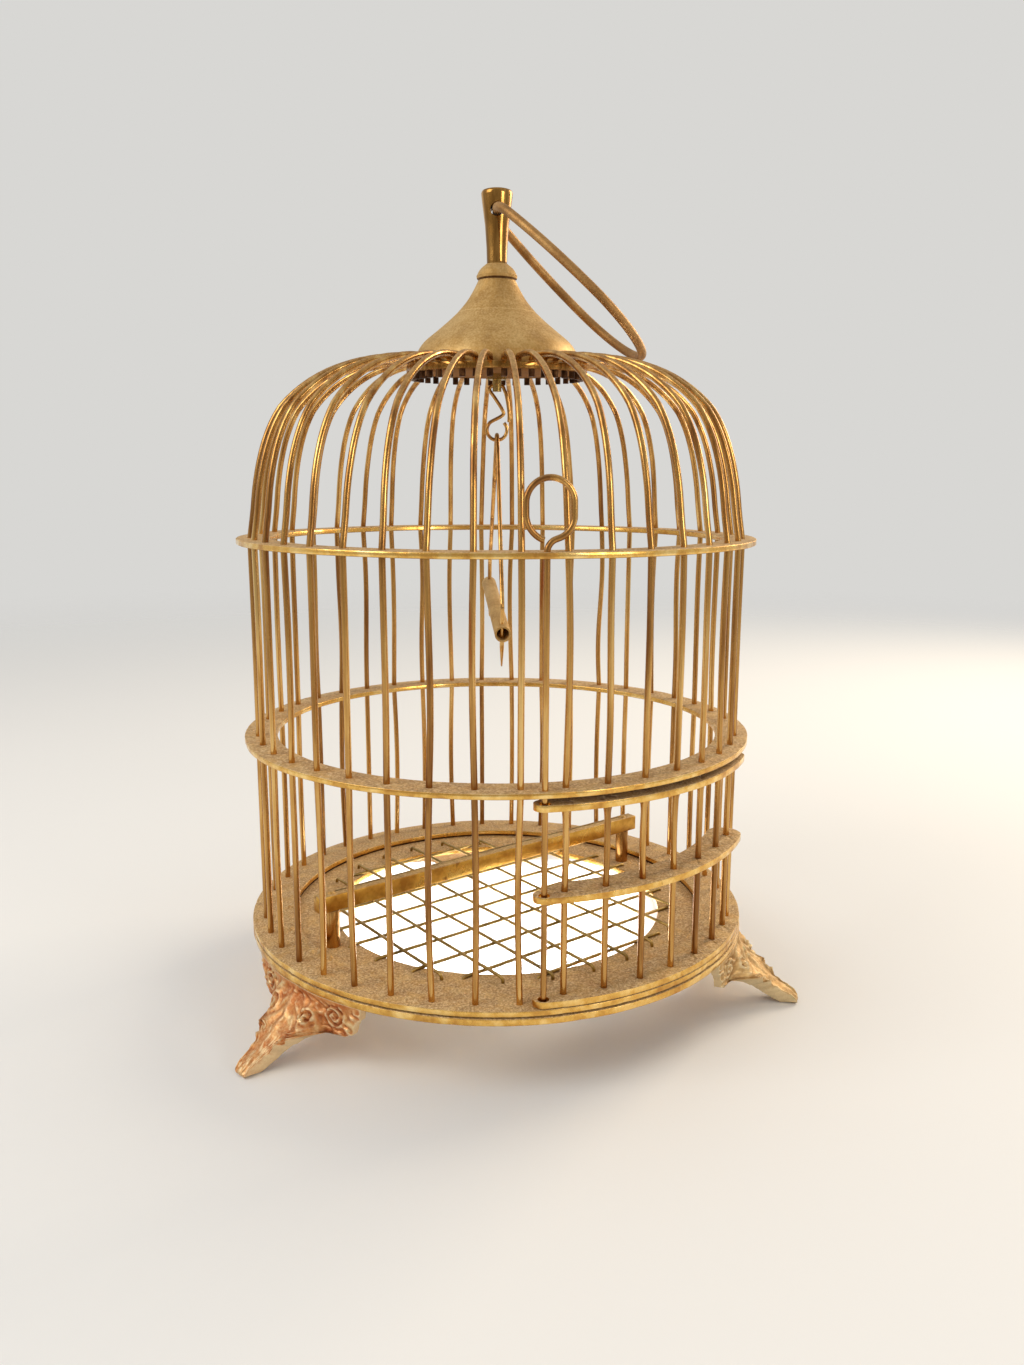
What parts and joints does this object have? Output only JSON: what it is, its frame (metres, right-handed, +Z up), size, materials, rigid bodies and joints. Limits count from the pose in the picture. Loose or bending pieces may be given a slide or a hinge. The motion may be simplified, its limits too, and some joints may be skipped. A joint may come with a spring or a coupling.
{
  "type": "footed bird cage",
  "caption": "Round brass wire bird cage on cast feet, with a domed top, a hinged wire door on a lift-out pin, a hanging perch swing and a carrying bail.",
  "frame": {"origin": "on the cage's axis, in the plane that the three toe pads stand on", "axes": "+Z up along the cage's axis; -Y is the front, where the door's hinge is; +X is to the right of the front"},
  "size_m": [0.1955, 0.1963, 0.2732],
  "materials": {
    "aged_brass": "cast, ornamented, tarnished to tan and terracotta",
    "dusty_brass": "flat sheet brass, satin edges, dusty on top",
    "spun_brass": "spun sheet, matt and dusty",
    "turned_brass": "turned, satin with bright streaks",
    "drawn_brass": "drawn wire, patinated",
    "swing_brass": "drawn wire and tube, dull",
    "old_brass": "dark olive patina",
    "bar_brass": "drawn flat bar, satin gold",
    "solder": "dull, grimed"
  },
  "bodies": {
    "cage": {"foot_front_left": "aged_brass", "foot_right": "aged_brass", "foot_back": "aged_brass", "base_plate": "dusty_brass", "base_ring": "dusty_brass", "mid_ring": "dusty_brass", "top_ring": "dusty_brass", "bell_cap": "spun_brass", "collar": "spun_brass", "finial": "turned_brass", "crown_disc": "turned_brass", "ribs_full": "drawn_brass", "ribs_over_door": "drawn_brass", "floor_perch_posts": "drawn_brass", "grid_rods_lower": "old_brass", "grid_rods_upper": "old_brass", "crown_stud": "old_brass", "stud_nut": "old_brass", "floor_perch_bar": "bar_brass", "floor_perch_nails": "bar_brass", "foot_rivets": "bar_brass", "solder_seam": "solder"},
    "bail": {"bail_handle": "drawn_brass"},
    "hinge_pin": {"hinge_pin": "drawn_brass"},
    "door": {"door_bottom_rail": "dusty_brass", "door_middle_rail": "dusty_brass", "door_top_rail": "dusty_brass", "door_bars": "drawn_brass"},
    "hanger": {"swing_hanger": "swing_brass"},
    "swing": {"swing_wire": "swing_brass", "perch_tube": "swing_brass"}
  },
  "joints": [
    {"name": "bail_swing", "type": "hinge", "parent": "cage", "child": "bail", "pos_m": [0, 0, 0.2666], "axis": [0, -1, 0], "range_deg": [0, 265]},
    {"name": "door_swing", "type": "hinge", "parent": "cage", "child": "door", "pos_m": [0.01349, -0.08514, 0.0277], "axis": [0, 0, -1], "range_deg": [0, 150]},
    {"name": "pin_lift", "type": "slide", "parent": "cage", "child": "hinge_pin", "axis": [0, 0, 1], "range_m": [0, 0.068]},
    {"name": "hanger_rock", "type": "hinge", "parent": "cage", "child": "hanger", "pos_m": [0, 0, 0.211], "axis": [1, 0, 0], "range_deg": [-15, 15]},
    {"name": "perch_swing", "type": "hinge", "parent": "hanger", "child": "swing", "pos_m": [0, 0, 0.193], "axis": [-0.0698, 0.9976, 0], "range_deg": [-25, 25]}
  ]
}
